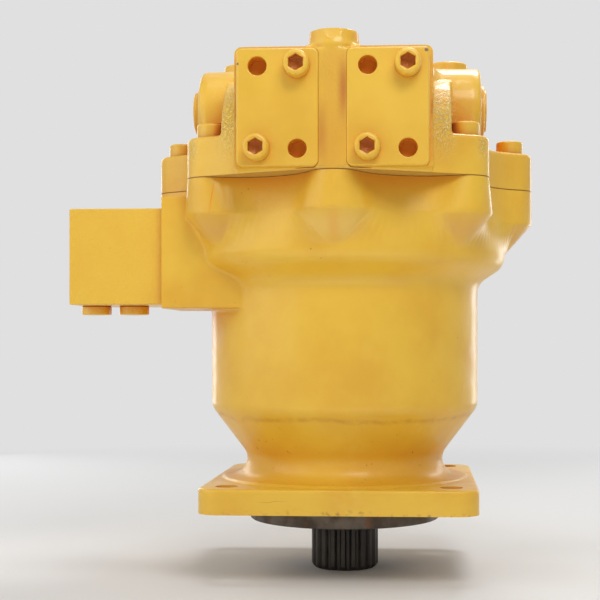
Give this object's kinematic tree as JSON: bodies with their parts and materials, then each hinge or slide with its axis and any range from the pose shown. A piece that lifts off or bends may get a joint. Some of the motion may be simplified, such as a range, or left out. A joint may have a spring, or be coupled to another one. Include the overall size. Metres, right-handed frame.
{
  "type": "swing motor",
  "caption": "Flange-mounted hydraulic swing motor: axial piston motor with splined output shaft, plated side ports, relief valves, spring-applied brake and brake valve block.",
  "frame": {"origin": "centre of the mounting flange's lower face, on the shaft axis", "axes": "+Z along the shaft axis from the flange to the rear cover, -Z out of the splined shaft end; -Y out of the two port faces; the brake valve block is on -X"},
  "size_m": [0.3555, 0.3125, 0.405],
  "materials": {
    "casting_paint": "satin yellow paint over a sand casting",
    "plate_paint": "satin yellow paint over a machined face",
    "fastener_paint": "satin yellow paint over steel screws and plugs",
    "shaft_steel": "dark hardened steel, dry",
    "bearing_steel": "ground bearing steel",
    "ground_steel": "ground and lapped steel",
    "spring_steel": "oiled spring steel",
    "bronze": "turned bronze",
    "friction_lining": "brown friction lining",
    "seal_rubber": "black nitrile"
  },
  "bodies": {
    "housing": {"casing": "casting_paint", "rear_cover": "casting_paint", "cover_bolts": "fastener_paint", "cover_dowels": "bearing_steel", "cover_seal_ring": "seal_rubber", "left_port_plate": "plate_paint", "right_port_plate": "plate_paint", "port_plate_bolts": "fastener_paint", "port_plate_seals": "seal_rubber", "valve_plate": "ground_steel", "valve_plate_pin": "bearing_steel", "swash_plate": "ground_steel", "swash_plate_pins": "bearing_steel", "front_bearing_outer_ring": "bearing_steel", "rear_bearing_outer_ring": "bearing_steel", "shaft_seal": "seal_rubber", "seal_retaining_ring": "spring_steel", "separator_plates": "ground_steel", "brake_springs": "spring_steel", "left_relief_cartridge": "fastener_paint", "right_relief_cartridge": "fastener_paint", "left_relief_spring": "spring_steel", "right_relief_spring": "spring_steel", "left_makeup_plug": "fastener_paint", "right_makeup_plug": "fastener_paint", "left_makeup_spring": "spring_steel", "right_makeup_spring": "spring_steel", "brake_valve_block": "plate_paint", "brake_valve_bolts": "fastener_paint", "brake_valve_plugs": "fastener_paint", "brake_valve_spring": "spring_steel", "brake_valve_seal": "seal_rubber", "drain_plug": "fastener_paint"},
    "rotor": {"drive_shaft": "shaft_steel", "front_bearing_inner_ring": "bearing_steel", "rear_bearing_inner_ring": "bearing_steel", "cylinder_block": "ground_steel", "friction_plates": "friction_lining", "spherical_bush": "ground_steel", "block_spring": "spring_steel", "pistons": "ground_steel", "shaft_snap_ring": "spring_steel"},
    "shoe_ring": {"retainer_plate": "ground_steel", "piston_shoes": "bronze"},
    "front_roller_set": {"front_bearing_rollers": "bearing_steel"},
    "rear_roller_set": {"rear_bearing_rollers": "bearing_steel"},
    "brake_piston": {"brake_piston": "ground_steel"},
    "left_relief_poppet": {"left_relief_poppet": "ground_steel"},
    "right_relief_poppet": {"right_relief_poppet": "ground_steel"},
    "left_makeup_poppet": {"left_makeup_poppet": "ground_steel"},
    "right_makeup_poppet": {"right_makeup_poppet": "ground_steel"},
    "brake_valve_spool": {"brake_valve_spool": "ground_steel"}
  },
  "joints": [
    {"name": "shaft_spin", "type": "hinge", "parent": "housing", "child": "rotor", "pos_m": [0, 0, 0], "axis": [0, 0, 1], "continuous": true, "deforming": ["pistons"]},
    {"name": "shoe_ring_spin", "type": "hinge", "parent": "housing", "child": "shoe_ring", "pos_m": [0, 0, 0.08446], "axis": [0, -0.2588, 0.9659], "continuous": true},
    {"name": "front_roller_orbit", "type": "hinge", "parent": "housing", "child": "front_roller_set", "pos_m": [0, 0, 0.0275], "axis": [0, 0, 1], "continuous": true},
    {"name": "rear_roller_orbit", "type": "hinge", "parent": "housing", "child": "rear_roller_set", "pos_m": [0, 0, 0.2615], "axis": [0, 0, 1], "continuous": true},
    {"name": "brake_release", "type": "slide", "parent": "housing", "child": "brake_piston", "axis": [0, 0, 1], "range_m": [0, 0.002], "stiffness_N_per_m": 50000, "springref_m": -0.004, "deforming": ["brake_springs"]},
    {"name": "left_relief_slide", "type": "slide", "parent": "housing", "child": "left_relief_poppet", "axis": [-1, 0, 0], "range_m": [0, 0.0025], "stiffness_N_per_m": 500, "springref_m": -0.001, "deforming": ["left_relief_spring"]},
    {"name": "right_relief_slide", "type": "slide", "parent": "housing", "child": "right_relief_poppet", "axis": [1, 0, 0], "range_m": [0, 0.0025], "stiffness_N_per_m": 500, "springref_m": -0.001, "deforming": ["right_relief_spring"]},
    {"name": "left_makeup_slide", "type": "slide", "parent": "housing", "child": "left_makeup_poppet", "axis": [0, 0, 1], "range_m": [0, 0.004], "stiffness_N_per_m": 300, "springref_m": -0.002, "deforming": ["left_makeup_spring"]},
    {"name": "right_makeup_slide", "type": "slide", "parent": "housing", "child": "right_makeup_poppet", "axis": [0, 0, 1], "range_m": [0, 0.004], "stiffness_N_per_m": 300, "springref_m": -0.002, "deforming": ["right_makeup_spring"]},
    {"name": "brake_valve_shift", "type": "slide", "parent": "housing", "child": "brake_valve_spool", "axis": [0, 0, -1], "range_m": [0, 0.005], "stiffness_N_per_m": 300, "springref_m": -0.004, "deforming": ["brake_valve_spring"]}
  ],
  "couplings": [
    {"joint": "shoe_ring_spin", "follows": "shaft_spin", "ratio": 1},
    {"joint": "front_roller_orbit", "follows": "shaft_spin", "ratio": 0.4053},
    {"joint": "rear_roller_orbit", "follows": "shaft_spin", "ratio": 0.4068}
  ]
}
